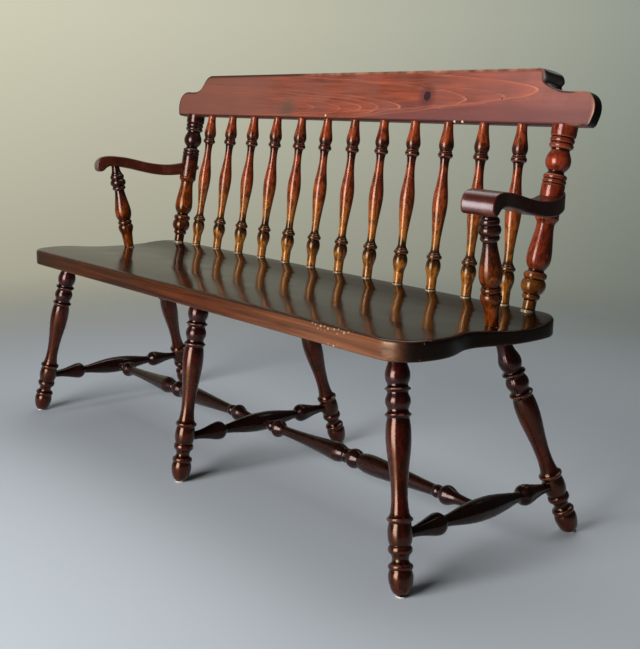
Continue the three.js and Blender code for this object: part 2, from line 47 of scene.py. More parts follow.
mm = 0.001
front_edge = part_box("seat")[0][1]  # the seat's front edge: depths are measured back from here
end_foot_spread = 708
foot_setbacks = {"front": 16.7, "back": 480.5}
leg_rows = {"left": -1, "middle": 0, "right": 1}


def place(x, setback, height):
    """A point of the bench, in metres, from millimetres along it, back from the seat's front
    edge and up from the floor."""
    return np.array([x * mm, front_edge + setback * mm, height * mm])


def through(points, steps=6):
    """The smooth curve through a row of points. Between two neighbours it is a cubic whose slope
    at each point is the mean of the chords before and after it, the nearer one weighing more;
    past the ends the slope runs on as the first and last curves bend."""
    points = np.array(points, float)
    if len(points) == 2:
        return points[0] + np.linspace(0, 1, steps + 1)[:, None] * (points[1] - points[0])
    chord = np.linalg.norm(np.diff(points, axis=0), axis=1)[:, None]
    slope = np.diff(points, axis=0) / chord
    inner = (slope[:-1] * chord[1:] + slope[1:] * chord[:-1]) / (chord[:-1] + chord[1:])
    slopes = np.vstack([2 * slope[:1] - inner[:1], inner, 2 * slope[-1:] - inner[-1:]])
    t = np.linspace(0, 1, steps, endpoint=False)[:, None]
    a, b = points[:-1, None], points[1:, None]
    da, db = (slopes[:-1] * chord)[:, None], (slopes[1:] * chord)[:, None]
    curve = (a * (2 * t**3 - 3 * t**2 + 1) + da * (t**3 - 2 * t**2 + t)
             + b * (3 * t**2 - 2 * t**3) + db * (t**3 - t**2))
    return np.vstack([curve.reshape(-1, points.shape[1]), points[-1:]])


def smoothed(runs):
    """An outline made of runs of points. Each run starts where the one before it ended and is a
    smooth curve, and neighbouring runs meet at a crisp edge."""
    return np.vstack([through(before[-1:] + run) for before, run in zip(runs, runs[1:])])


def new_object(name, data):
    """An object with that mesh, lamp or camera, linked to the scene."""
    made = bpy.data.objects.new(name, data)
    bpy.context.scene.collection.objects.link(made)
    return made


def skin(name, grid, finish, **marks):
    """A closed surface over a grid of points, rows by points round each row. The last point of a
    row joins the first, and points that meet, at a pole or along a seam, become one. The faces
    are turned so that the volume they hold is above nought. marks are numbers or vectors kept on
    the points for finish, its material, to read."""
    count, around = grid.shape[:2]
    flat = grid.reshape(-1, 3)
    _, first, same = np.unique(np.round(flat, 7), axis=0, return_index=True, return_inverse=True)
    same = same.reshape(count, around)
    right = np.roll(same, -1, axis=1)
    quads = np.stack([same[:-1], right[:-1], right[1:], same[1:]], axis=-1).reshape(-1, 4)
    met = quads == np.roll(quads, -1, axis=1)
    whole = quads[~met.any(axis=1)]
    pinched, where = quads[met.sum(axis=1) == 1], met[met.sum(axis=1) == 1].argmax(axis=1)
    keep = (where[:, None] + np.arange(1, 4)) % 4
    faces = [whole, np.take_along_axis(pinched, keep, axis=1)]
    points = flat[first]
    fans = np.vstack([faces[1], whole[:, :3], whole[:, [0, 2, 3]]])
    a, b, c = points[fans].transpose(1, 0, 2)
    turn = -1 if np.einsum("ij,ij->", a, np.cross(b, c)) < 0 else 1
    mesh = bpy.data.meshes.new(name)
    mesh.from_pydata(points.tolist(), [], [f for kind in faces for f in kind[:, ::turn].tolist()])
    for mark, values in marks.items():
        kind, field = ("FLOAT_VECTOR", "vector") if values.ndim == 3 else ("FLOAT", "value")
        values = values.reshape(count * around, -1)[first].astype(np.float32).ravel()
        mesh.attributes.new(mark, kind, "POINT").data.foreach_set(field, values)
    mesh.materials.append(finish)
    mesh.shade_smooth()
    return new_object(name, mesh)


def spun(outline, foot, head, around=48):
    """A surface of revolution: the outline's distances out from the axis, carried round the line
    that starts at foot and runs towards head, at its distances along it. Gives the points in the
    bench's place and, for the grain, in the piece's own: out, out and along."""
    axis = (head - foot) / np.linalg.norm(head - foot)
    side = np.cross(axis, [0.3, 0.9, 0.2])  # no piece's axis runs that way
    side /= np.linalg.norm(side)
    turn = np.arange(around) * 2 * np.pi / around
    out, along = outline[:, :1], outline[:, 1:]
    own = np.stack([out * np.cos(turn), out * np.sin(turn), along + 0 * turn], axis=-1)
    return foot + own @ np.stack([side, np.cross(axis, side), axis]), own


def hue(code):
    """The linear colour of an sRGB hex value."""
    part = np.array([int(code[i:i + 2], 16) for i in (1, 3, 5)]) / 255
    line = np.where(part <= 0.04045, part / 12.92, ((part + 0.055) / 1.055) ** 2.4)
    return (*line, 1)


def add(tree, kind, inputs=None, **settings):
    """Adds a shader node. settings are its own options, and inputs gives sockets, by name or
    number, a value, an sRGB hex colour, another node's output, or a node, which stands for the
    first output that it has in use."""
    made = tree.nodes.new("ShaderNode" + kind)
    for option, value in settings.items():
        setattr(made, option, value)
    for socket, value in (inputs or {}).items():
        if isinstance(value, bpy.types.Node):
            value = next(output for output in value.outputs if output.enabled)
        if isinstance(value, bpy.types.NodeSocket):
            tree.links.new(value, made.inputs[socket])
        else:
            made.inputs[socket].default_value = hue(value) if isinstance(value, str) else value
    return made


def material(name):
    """A new material with its empty tree."""
    made = bpy.data.materials.new(name)
    made.use_nodes = True
    made.node_tree.nodes.clear()
    return made, made.node_tree


def wear(tree, piece_place, size, low, high):
    """How strongly a patchy noise of that size, in mm, shows: 0 below low, 1 above high."""
    noise = add(tree, "TexNoise", {
        "Vector": piece_place, "Scale": 1 / (size * mm), "Detail": 3.0})
    return add(tree, "MapRange", {"Value": noise, "From Min": low, "From Max": high})


def round_spot(tree, piece_place, spot, near, far, most=1.0, **settings):
    """How strongly a thing shows round a spot of the piece: most up to near, and 0 past far. The
    spot and both distances are in mm."""
    away = add(tree, "VectorMath", {0: piece_place, 1: np.array(spot) * mm}, operation="DISTANCE")
    return add(tree, "MapRange", {
        "Value": away, "From Min": far * mm, "From Max": near * mm, "To Max": most}, **settings)


def coats(tree, tone, *over):
    """The colour of a surface under one coat after another: each has how far it covers what is
    below it, 0 to 1, and its own colour."""
    for share, colour in over:
        tone = add(tree, "Mix", {0: share, 6: tone, 7: colour}, data_type="RGBA")
    return tone


# Moulded nylon: milky and dull, with grey dust rubbed into it in patches about 6 mm across.
nylon, tree = material("moulded nylon, dusty")
own_place = add(tree, "TexCoord").outputs["Object"]
dust = wear(tree, own_place, 6, 0.35, 0.75)
add(tree, "OutputMaterial", {"Surface": add(tree, "BsdfPrincipled", {
    "Base Color": coats(tree, "#d6d0c4", (dust, "#a39a8c")), "Roughness": 0.5, "IOR": 1.53,
    "Subsurface Weight": 0.05})})

glide_outline = smoothed([
    [(0, 0)], [(7.6, 0)], [(8.7, 0.3), (9.3, 1.2)], [(9.2, 2.2), (8.7, 3.2)], [(0, 3.2)],
])
for row, side in leg_rows.items():
    for end, setback in foot_setbacks.items():
        foot = place(side * end_foot_spread, setback, 0)
        grid, _ = spun(glide_outline * mm, foot, foot + [0, 0, 1], around=32)
        glide = skin(f"foot_glide_{end}_{row}", grid, nylon)
        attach(glide, "root")
        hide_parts(f"glide_{end}_{row}")

# Legs
# Six legs turned from birch, with beads, coves and a long vase between the knee and the top
# rings. They are driven into blind bores in the seat, splayed, and cut level at the floor.

seat_underside, sole = 406.2, 3.3
end_leg_spread, leg_setbacks = 621, {"front": 73.5, "back": 337.4}
leg_outline = smoothed([
    [(0, -6)], [(9, -6)], [(9.2, 3)],
    [(11.8, 4.5), (15.4, 8.5), (18.9, 16.5), (21, 25), (21.9, 33), (21.2, 40), (19.7, 44.6)],
    [(19.5, 46.3)], [(21.3, 48.4), (21.9, 51.4), (20.9, 54.5), (18.2, 56.5)],
    [(15.7, 59.5), (14.6, 63), (15, 67), (16.8, 71), (19.4, 74)],
    [(21.2, 77.2), (21.3, 81.5), (20.5, 84.5), (18.1, 87)],
    [(19.7, 91), (21.4, 99), (21.8, 108), (21, 117), (19.5, 124.3)], [(20.2, 127), (22.5, 129)],
    [(23.1, 131.3), (22.7, 133.5)],
    [(19.9, 135.6), (17.6, 139.5), (16.1, 147), (14.7, 160), (14.4, 175), (15, 190), (16.6, 210),
     (19, 230), (21.3, 250), (22.4, 268), (22.3, 283), (21.2, 295), (19.5, 303.6)],
    [(20.6, 306), (22.8, 308)], [(23.4, 309.8), (23, 311.5)],
    [(20.9, 313), (18.9, 315.3), (18.4, 318.5), (19.7, 323), (21.7, 328), (22.4, 333),
     (21.6, 338.5), (19.6, 343.5), (18.5, 347), (18.9, 349.4), (20.6, 351.4), (22.7, 352.8)],
    [(23.2, 354.2), (22.8, 355.7)],
    [(20.3, 357.2), (18.3, 359.8), (18.4, 362.5), (20.3, 367), (22, 374), (22.1, 381), (20.2, 389),
     (17.5, 397), (15.6, 407), (14.8, 424)], [(0, 424)],
])
# What a turning's marks are measured against, in mm: the spans its outline is averaged over, and
# how far it then stands proud where the mark is full
neck_span, nick_span, ring_span = 30, 4, 46
neck_full, nick_full, ring_full = 4, 0.5, 0.14
grain_step = np.array([0.31, 0.17, 0.53])  # metres from one turning's grain to the next one's
smooth = {"interpolation_type": "SMOOTHSTEP"}
pieces_made = 0


def averaged(along, values, span):
    """The values averaged over span mm along a turning, those in the middle weighing most."""
    steps_per_mm = 4
    even = np.arange(along.min(), along.max(), 1 / steps_per_mm)
    window = np.hanning(2 * steps_per_mm * span + 3)[1:-1]
    padded = np.pad(np.interp(even, along, values), steps_per_mm * span, "edge")
    return np.interp(along, even, np.convolve(padded, window / window.sum(), "valid"))


def turned(node, foot, head, outline, finish, name=None, level=-np.inf,
           glue_top=-np.inf):
    """A turned piece: its outline spun about the line from foot to head. It carries seven marks:
    grain, its own place moved on for each piece; axis, which way it lies; neck and nick, how far
    it stands proud of its average over a long and a short span, for the swellings and for the
    lines by the rings; near, how close the rings are; rise, from foot to head; and glue, 1 on
    the lowest glued millimetres. Nothing of it is left below level."""
    global pieces_made
    pieces_made += 1
    grid, own = spun(outline * mm, foot, head)
    grid[..., 2] = np.maximum(grid[..., 2], level * mm)
    length = np.linalg.norm(head - foot)
    out, along = outline.T
    proud, fine = (out - averaged(along, out, span) for span in (neck_span, nick_span))
    rings = averaged(along, np.abs(fine), ring_span)
    marks = {
        "neck": np.clip(proud / neck_full, -1, 1), "nick": np.clip(fine / nick_full, -1, 1),
        "near": np.clip(rings / ring_full, 0, 1), "rise": along * mm / length,
        "glue": along < glue_top}
    piece = skin(
        name or f"turned_{node}", grid, finish, grain=own + grain_step * pieces_made,
        axis=0 * own + (head - foot) / length,
        **{mark: np.outer(values, np.ones(grid.shape[1])) for mark, values in marks.items()})
    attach(piece, "root")
    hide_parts(node)


def stained_birch(name, foot, sunk, edge, glint, toner, head=None, change=(0, 1)):
    """Turned birch under wiping stain and sprayed lacquer. The grain runs along the piece as
    streaks; stain lies dark in the grooves, and is rubbed thin on the rings. foot and head are
    each the streaks' pale and deep colour at that end, head as foot unless given, and turn into
    one another between the two rises in change; sunk is the grooves' colour and edge the rings'.
    toner is what was sprayed round the rings, its colour and how thickly, and glint tints the
    broad gloss that comes up through the stain, low and high."""
    made, tree = material(name)
    grain, axis = (
        add(tree, "Attribute", attribute_name=mark).outputs["Vector"] for mark in ("grain", "axis"))
    neck, nick, near, rise, glue = (
        add(tree, "Attribute", attribute_name=mark).outputs["Fac"]
        for mark in ("neck", "nick", "near", "rise", "glue"))
    # Birch fibres are under 0.5 mm wide, too fine to show: the streaks are drawn 2.5 mm wide and
    # about 45 mm long
    streak_place = add(tree, "Mapping", {"Vector": grain, "Scale": (400, 400, 22)})
    streaks = add(tree, "TexNoise", {
        "Vector": streak_place, "Scale": 1.0, "Detail": 4.0, "Roughness": 0.6, "Distortion": 0.4})
    # Blotches where the wood drank more stain, about 14 mm across and 30 mm long
    blotch_place = add(tree, "Mapping", {"Vector": grain, "Scale": (72, 72, 33)})
    blotches = add(tree, "TexNoise", {
        "Vector": blotch_place, "Scale": 1.0, "Detail": 4.0, "Distortion": 1.4})
    drunk = add(tree, "MapRange", {"Value": blotches, "From Min": 0.4, "From Max": 0.6})
    both = add(tree, "Math", {0: streaks, 1: 0.9, 2: -0.2}, operation="MULTIPLY_ADD")
    depth = add(tree, "Math", {
        0: drunk, 1: 0.55, 2: both}, operation="MULTIPLY_ADD", use_clamp=True)
    low_end, high_end = (coats(tree, pale, (depth, deep)) for pale, deep in (foot, head or foot))
    upward = add(tree, "MapRange", {
        "Value": rise, "From Min": change[0], "From Max": change[1]}, **smooth)
    # The swellings are paler: the stain was wiped thinner there, and the paler tone is also a
    # painted highlight on them
    wiped_swell_and_highlight = add(tree, "MapRange", {
        "Value": neck, "From Max": 0.5, "To Min": 1.0, "To Max": 1.35}, **smooth)
    wiped_and_highlit = add(tree, "HueSaturation", {
        "Value": wiped_swell_and_highlight, "Color": coats(tree, low_end, (upward, high_end))})
    cloudy = add(tree, "Math", {0: drunk, 1: 0.24, 2: near}, operation="MULTIPLY_ADD")
    sprayed = add(tree, "MapRange", {
        "Value": cloudy, "From Min": 0.36, "To Max": toner[1]}, **smooth)
    lines = add(tree, "MapRange", {"Value": nick, "From Min": -0.1, "From Max": -0.6}, **smooth)
    proud = add(tree, "MapRange", {"Value": nick, "From Min": 0.35, "To Max": 0.8})
    rubbed_and_highlit = add(tree, "Math", {0: proud, 1: drunk}, operation="MULTIPLY")
    # Brush and orange-peel ripples in the lacquer, about 4 mm apart
    ripple = add(tree, "TexNoise", {"Vector": grain, "Scale": 250.0})
    relief = add(tree, "Bump", {"Height": ripple, "Strength": 0.12, "Distance": 0.5 * mm})
    gloss = add(tree, "MapRange", {
        "Value": blotches, "From Min": 0.3, "From Max": 0.7, "To Min": 0.2, "To Max": 0.31})
    # Sanding on the lathe left fine scratches round the piece, which draw its gloss lengthwise
    add(tree, "OutputMaterial", {"Surface": add(tree, "BsdfPrincipled", {
        "Base Color": coats(tree, wiped_and_highlit, (sprayed, toner[0]), (lines, sunk), (rubbed_and_highlit, edge),
                            (glue, "#8c7c64")),
        "Roughness": gloss, "IOR": 1.5, "Anisotropic": 0.8, "Tangent": axis,
        "Specular Tint": coats(tree, glint[0], (upward, glint[1])), "Coat Weight": 0.4,
        "Coat Roughness": 0.17, "Normal": relief, "Coat Normal": relief})})
    return made


# Birch stained a dark red mahogany: wine brown on the swellings, near black in the grooves, a
# dusty brown on the rings, and a gloss that draws a golden band down the lit side.
leg_birch = stained_birch(
    "turned birch, mahogany stain, lacquered", foot=("#400e08", "#0e0302"),
    head=("#340c0a", "#0a0302"), sunk="#060202", edge="#663a2e", glint=("#ffa860", "#f0a494"),
    change=(0.6, 0.85), toner=("#080303", 0.5))

leg_feet, leg_heads = {}, {}
for row, side in leg_rows.items():
    for end in foot_setbacks:
        foot = place(side * end_foot_spread, foot_setbacks[end], 0)
        head = place(side * end_leg_spread, leg_setbacks[end], seat_underside)
        leg_feet[end, row], leg_heads[end, row] = foot, head
        turned(f"leg_{end}_{row}", foot, head, leg_outline, leg_birch, level=sole)

# Cross stretchers
# Three birch rungs, one in each pair of legs from front to back, swelling to the middle with a
# tulip cup facing it from each end. Their ends are let into the legs.

stretcher_drop = 0.757  # down from each leg's head, as a share of its length
cross_half = smoothed([
    [(21.3, 0)], [(20.9, 20), (18.2, 45), (14.2, 70), (11.2, 88), (10.2, 97)],
    [(10.8, 101), (13.4, 104), (18, 109), (20.2, 114)],
    [(20.5, 118), (19.3, 127), (16.1, 140), (12.6, 155), (9.9, 171), (8.9, 185), (8.5, 212)],
    [(0, 212)],
])
cross_outline = np.vstack([cross_half[::-1] * [1, -1], cross_half])
# The darkest pieces, stained nearly to black
cross_birch = stained_birch(
    "turned birch, black stain, lacquered", foot=("#1a0906", "#080302"),
    sunk="#040202", edge="#38201a", glint=("#b06a58", "#b06a58"), toner=("#060302", 0.3))
cross_middles = {}
for row in leg_rows:
    ends = [leg_heads[end, row] + stretcher_drop * (leg_feet[end, row] - leg_heads[end, row])
            for end in foot_setbacks]
    cross_middles[row] = (ends[0] + ends[1]) / 2
    turned(f"cross_stretcher_{row}", cross_middles[row], ends[1], cross_outline, cross_birch)

# Long stretchers
# Two birch rungs along the bench, from one cross stretcher to the next, with a ball between two
# rings at the middle and a bulb and ring near each end.

long_outline = smoothed([
    [(0, -2)], [(8.4, -2)], [(8.5, 20), (8.8, 34), (9.4, 40)],
    [(11.8, 42.5), (13.1, 46.5), (12.1, 50.5), (10.4, 53)], [(10.6, 56)],
    [(15.2, 60.5), (19, 65.5), (20.2, 70), (18.8, 76), (14.6, 84), (11.8, 91), (10.9, 98)],
    [(12, 140), (15.2, 200), (18.7, 248), (20.5, 270), (20.8, 280), (18.8, 290), (15.6, 299),
     (13.9, 303)], [(15.4, 305.5), (15.7, 308), (15, 311), (13.2, 313)],
    [(16.8, 319.5), (20.1, 326.5), (21.1, 332.5), (20, 339), (16.6, 346), (14, 351)],
    [(16.4, 355), (18.8, 364), (20.4, 377), (20.7, 390), (20.1, 412), (18, 450), (14.9, 500),
     (12.5, 540), (11.3, 566)], [(12.7, 569.5), (13.2, 573.5), (12.3, 578), (10.9, 580.5)],
    [(11, 583)], [(15, 588), (18.4, 593.5), (19.4, 599), (17.8, 606), (13.6, 616), (11.1, 625)],
    [(9.3, 644), (8.6, 668), (8.4, 694)], [(0, 694)],
])
# A purple brown, with a faint pink gloss
long_birch = stained_birch(
    "turned birch, black brown stain, lacquered", foot=("#240e0a", "#0c0403"),
    sunk="#050202", edge="#4a2c22", glint=("#cc9484", "#cc9484"), toner=("#0a0404", 0.3))
for name, near, far in [("left", "left", "middle"), ("right", "middle", "right")]:
    turned(f"long_stretcher_{name}", cross_middles[near], cross_middles[far], long_outline,
           long_birch)

# Seat
# One long pine plank, sawn to a gently waisted outline with rounded corners, scooped along the
# sitter's side and eased at its arrises. It was stained dark and flowed with thick lacquer.

seat_length, seat_depth, seat_level, seat_scoop = 1428, 431, 440, 8.7
seat_top_arris, seat_under_arris = 5.5, 3
seat_unscooped = 20  # mm up from the underside that the scoop leaves as they are
seat_end = [
    (0, 0.896), (0.007, 0.932), (0.028, 0.959), (0.06, 0.978), (0.102, 0.99), (0.162, 0.998),
    (0.22, 1), (0.267, 0.996), (0.302, 0.989), (0.341, 0.979), (0.383, 0.969), (0.422, 0.965),
    (0.464, 0.966), (0.515, 0.973), (0.58, 0.986), (0.631, 0.994), (0.684, 0.998), (0.754, 0.999),
    (0.824, 0.997), (0.88, 0.991), (0.921, 0.979), (0.953, 0.963), (0.981, 0.943), (0.997, 0.916),
    (1, 0.885),
]
seat_rises = [
    (0, 0.29), (0.05, 0.29), (0.14, 0.26), (0.25, 0.14), (0.36, -0.14), (0.47, -0.47),
    (0.57, -0.77), (0.65, -0.95), (0.715, -1), (0.78, -0.9), (0.84, -0.64), (0.9, -0.3),
    (0.95, -0.07), (1, 0),
]


# A board's rows, counted each way from the middle of its edge: the flat of the edge ends with the
# first number and the rounded arris with the last, and the saw's marks show up to the second
edge_rows, sawn_rows, arris_rows = 2, 5, 8


def walked(one_end, bends, stride):
    """A board's closed outline from the points of its right-hand end: a smooth curve through
    them, that many steps to a point, mirrored, and walked at an even stride."""
    one_end = through(one_end, bends)
    return strides(np.vstack([one_end, one_end[::-1] * [-1, 1]]), stride)


def strides(outline, stride):
    """A closed outline walked at even strides of about the given length."""
    ring = np.vstack([outline, outline[:1]])
    far = np.concatenate([[0], np.cumsum(np.linalg.norm(np.diff(ring, axis=0), axis=1))])
    count = int(round(far[-1] / stride / 4)) * 4
    at = np.arange(count) * far[-1] / count
    return np.column_stack([np.interp(at, far, way) for way in ring.T])


def spine_of(outline, reach, level):
    """The spot nearest to each outline point on a straight spine, which lies at that level and
    reaches that far each way from the middle."""
    return np.column_stack([np.clip(outline[:, 0], -reach, reach), np.full(len(outline), level)])


def board(outline, spine, low, high, low_arris, high_arris, face_rows=26):
    """The rows of a sawn board's closed surface, over points (across, along, height): from the
    spine on its underside out to the outline, round the lower arris as a quarter circle, up the
    edge, round the upper arris and back in to the spine. spine gives each outline point the spot
    that its rows run in to; low and high are the board's two faces."""
    ahead = np.roll(outline, -1, axis=0) - np.roll(outline, 1, axis=0)
    inward = np.stack([-ahead[:, 1], ahead[:, 0]], axis=1)
    inward /= np.linalg.norm(inward, axis=1)[:, None]
    inward *= np.sign(np.sum(inward * (spine - outline), axis=1).mean())
    quarter = np.linspace(0, np.pi / 2, arris_rows - edge_rows)
    inset, raised = 1 - np.cos(quarter), 1 - np.sin(quarter)
    edge = np.linspace(0, 1, 2 * edge_rows + 2)[1:-1]
    insets = np.concatenate([low_arris * inset[::-1], 0 * edge, high_arris * inset])
    heights = np.concatenate([
        low + low_arris * raised[::-1],
        low + low_arris + edge * (high - high_arris - low - low_arris),
        high - high_arris * raised])
    made = [np.column_stack([outline + inward * inset, np.full(len(outline), height)])
            for inset, height in zip(insets, heights)]
    shares = np.linspace(1, 0, face_rows)[:-1, None]
    bottom, top = (
        [np.column_stack([face[:, :2] + share * (spine - face[:, :2]), face[:, 2]])
         for share in order] for face, order in ((made[0], shares), (made[-1], shares[::-1])))
    return np.array([*bottom, *made, *top])


def board_marks(rows, outline):
    """Marks for a board's surface: its rounded arrises, its sawn edge with the outer half of
    each arris, and how much end grain that edge shows, which is how far the outline there lies
    across the board's length."""
    row = np.abs(np.arange(len(rows)) - (len(rows) - 1) / 2)
    ahead = np.roll(outline, -1, axis=0) - np.roll(outline, 1, axis=0)
    across = np.abs(ahead[:, 1]) / np.linalg.norm(ahead, axis=1)
    every = np.ones(len(outline))
    return (np.outer((row > edge_rows) & (row < arris_rows), every),
            np.outer(row < sawn_rows, every), np.outer(row < sawn_rows, across))


seat_half, seat_spine = seat_length / 2, 0.7  # the spine's length as a share of the seat's
back_share, out_share = np.transpose(seat_end)
outline = walked(
    np.column_stack([out_share * seat_half, back_share * seat_depth]), bends=4, stride=5)
grid = board(outline, spine_of(outline, seat_spine * seat_half, seat_depth / 2), seat_underside,
             seat_level, seat_under_arris, seat_top_arris)
arris_mark, sawn_mark, across_mark = board_marks(grid, outline)
rises = through(seat_rises, 8).T
lift = np.interp(grid[..., 1] / seat_depth, *rises) * seat_scoop
share_up = (grid[..., 2] - seat_underside - seat_unscooped) / (
    seat_level - seat_underside - seat_unscooped)
grid[..., 2] += lift * np.clip(share_up, 0, 1)
grid = grid * mm + [0, front_edge, 0]

# Pine stained walnut brown under a flowed coat: from above it mirrors the spindles, and its sawn
# edge, which took the stain lighter, shows a warmer red brown with the long grain in it; the
# lighter tone is also painted light where the front edge faces the lamp.
seat_pine, tree = material("pine plank, walnut stain, flowed lacquer")
own_place = add(tree, "TexCoord").outputs["Object"]
# Growth lines about 9 mm apart across the plank, running 300 mm and more along it
line_place = add(tree, "Mapping", {"Vector": own_place, "Scale": (3.2, 110, 110)})
lines = add(tree, "TexNoise", {
    "Vector": line_place, "Scale": 1.0, "Detail": 5.0, "Roughness": 0.62, "Distortion": 0.6})
spread = add(tree, "MapRange", {"Value": lines, "From Min": 0.34, "From Max": 0.66})
drunk = wear(tree, own_place, 160, 0.38, 0.7)
drunk_share = add(tree, "Math", {0: drunk, 1: 0.7}, operation="MULTIPLY")
# Towards its right-hand end, nearer the lamp, the front edge is painted lighter, a pinkish brown
# that shows the grain: painted light. Its left-hand end is painted the darkest, an umber that hides
# the grain: painted shade.
seat_x = add(tree, "SeparateXYZ", {"Vector": own_place}).outputs[0]
right_end_painted_light = add(tree, "MapRange", {
    "Value": seat_x, "From Min": 120 * mm, "From Max": 560 * mm}, **smooth)
left_end_painted_shade = add(tree, "MapRange", {
    "Value": seat_x, "From Min": -260 * mm, "From Max": -680 * mm, "To Max": 0.8}, **smooth)
# End grain drinks the stain deepest and is nearly black
arris, sawn, across = (
    add(tree, "Attribute", attribute_name=mark).outputs["Fac"]
    for mark in ("arris", "sawn", "across"))
end_grain = add(tree, "MapRange", {"Value": across, "From Min": 0.3, "From Max": 0.9}, **smooth)
sawn_face = coats(
    tree, "#582408", (spread, "#1a0903"), (drunk_share, "#2c160c"),
    (right_end_painted_light, coats(tree, "#74462c", (spread, "#422416"))), (left_end_painted_shade, "#21120a"),
    (end_grain, "#120907"))
# Chips along the arrises, and a row of small pale knocks in the front one, about 9 mm apart, which
# also stand for painted highlights along that arris
chips = wear(tree, own_place, 4, 0.72, 0.76)
beads = add(tree, "TexVoronoi", {"Vector": own_place, "Scale": 110.0, "Randomness": 0.6})
bead = add(tree, "MapRange", {"Value": beads, "From Min": 0.34, "From Max": 0.16})
in_row = round_spot(tree, own_place, (525, front_edge / mm, 443), 34, 62)
knock_and_highlight_row = add(tree, "Math", {0: bead, 1: in_row}, operation="MULTIPLY")
either = add(tree, "Math", {0: chips, 1: knock_and_highlight_row}, operation="MAXIMUM")
knocks_and_highlights = add(tree, "Math", {0: arris, 1: either}, operation="MULTIPLY")
ripple = add(tree, "TexNoise", {"Vector": own_place, "Scale": 38.0})
relief = add(tree, "Bump", {"Height": ripple, "Strength": 0.1, "Distance": 1.0 * mm})
# The lacquer dulled in patches, and ran off the sawn edge and left it satin
dull = wear(tree, own_place, 90, 0.35, 0.75)
gloss = add(tree, "MapRange", {"Value": dull, "To Min": 0.12, "To Max": 0.2})
satin = add(tree, "Math", {0: sawn, 1: 0.16, 2: gloss}, operation="MULTIPLY_ADD")
# The sawn edge's lighter tone is partly painted light on the lit front edge
add(tree, "OutputMaterial", {"Surface": add(tree, "BsdfPrincipled", {
    "Base Color": coats(tree, "#2c160e", (spread, "#160b08"), (sawn, sawn_face),
                        (knocks_and_highlights, "#a88c72")),
    "Roughness": satin, "IOR": 1.47, "Specular Tint": "#f4dcc0", "Normal": relief})})
seat = skin("seat_plank", grid, seat_pine, arris=arris_mark, sawn=sawn_mark, across=across_mark)
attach(seat, "root")
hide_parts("seat")

# Back spindles
# Twelve slender birch spindles with a long swelling between two ring groups, glued into the
# seat behind the scoop. A thin pale line of squeezed-out glue rings each foot.

spindle_count, spindle_pitch_seat, spindle_pitch_crest = 12, 101, 98.3
spindle_seat_setback, spindle_crest_setback = 422.5, 468.7
post_seat_setback, post_crest_setback = 410.3, 477.7
crest_underside, crest_setback = 786.5, 472.7
crest_lean = np.arctan2(post_crest_setback - post_seat_setback, crest_underside - seat_level)
spindle_outline = smoothed([
    [(0, -4)], [(11.9, -4)], [(11.9, 0.3)], [(11.6, 1.2), (10.6, 1.6)], [(10.7, 12), (11, 27)],
    [(13.3, 36), (15.4, 44), (16, 51), (14.9, 59), (12.4, 65)],
    [(14.9, 66.7), (16.1, 70.5), (15.1, 74), (12.8, 75.5)], [(12.7, 77.5), (11.4, 79)],
    [(9.4, 84), (9, 94), (9.3, 107), (10.7, 123), (12.6, 142), (15, 163), (16.1, 183), (15.3, 199),
     (13.2, 215), (11, 231), (9.6, 246), (9.2, 259), (9.6, 270), (10.8, 277)], [(12, 278.5)],
    [(14.6, 280), (15.7, 284), (14.9, 287.5), (12.7, 289)], [(13.9, 290.5), (12.2, 292.5)],
    [(14.2, 297), (15.7, 303.5), (15.1, 311), (12.7, 324), (10.6, 338), (9.7, 353)], [(0, 353)],
])


def under_crest(x, setback):
    """Where an upright meets the leaning rail's underside."""
    return place(x, setback, crest_underside - (setback - crest_setback) * np.tan(crest_lean))


# The same birch stained thinner: golden low down, turning a red brown above, with near black
# toner in the necks by the rings.
spindle_birch = stained_birch(
    "turned birch, amber stain, lacquered", foot=("#b46e26", "#361708"),
    head=("#9c4220", "#260c08"), sunk="#0e0505", edge="#8e5840", glint=("#ffc070", "#ffb488"),
    change=(0.2, 0.6), toner=("#160808", 0.9))
for i in range(spindle_count):
    along = i - (spindle_count - 1) / 2
    foot = place(along * spindle_pitch_seat, spindle_seat_setback, seat_level)
    head = under_crest(along * spindle_pitch_crest, spindle_crest_setback)
    turned(f"spindle_{i + 1:02d}", foot, head, spindle_outline, spindle_birch,
           glue_top=1.3)

# Back posts
# Two stout birch posts at the ends of the back, with a plain length where the arm is notched
# round them and a drum at the top under the rail.

post_outline = smoothed([
    [(0, -4)], [(14.4, -4)], [(14.4, 0.6)], [(14, 1.8), (12.8, 2.2)], [(12.8, 22)],
    [(15.4, 23.5), (17.1, 28), (16.7, 31.5), (15.2, 33)],
    [(19.8, 37.5), (22.9, 44), (23.6, 51), (22.2, 57.5), (19, 62)],
    [(21.2, 64.5), (22.2, 69.5), (20.9, 73.8), (17.4, 76)], [(15.5, 77.5), (15, 80)],
    [(17.8, 84), (21.1, 90), (23.3, 99), (23.4, 109), (22.3, 121), (20.4, 134), (18.6, 147),
     (17.1, 160), (16.9, 168)], [(18.6, 172), (21.7, 176.5), (22.9, 180)], [(22.2, 184)],
    [(22.2, 212), (22.2, 243.5)], [(20.6, 245)],
    [(22.3, 246.8), (22.6, 249.5), (22, 252), (20.2, 253.5)],
    [(22, 255.2), (22.4, 258), (21.6, 260.8), (19.2, 262.5)], [(16, 265), (15, 268.5)],
    [(18.8, 272.5), (22.7, 279), (24.1, 286.5), (22.9, 295), (20, 302), (17.4, 308)], [(18, 311)],
    [(21.8, 313), (23.2, 316.5), (22.2, 320), (20.2, 321.7)],
    [(22.4, 323.5), (23.2, 327), (22.4, 330.5), (20.6, 332.2)],
    [(23.2, 334), (24.1, 337.5), (24.3, 345), (24.3, 356)], [(0, 356)],
])
post_seat_spread, post_crest_spread = 627.3, 636
post_feet = {s: place(s * post_seat_spread, post_seat_setback, seat_level) for s in (-1, 1)}
post_heads = {s: under_crest(s * post_crest_spread, post_crest_setback) for s in (-1, 1)}
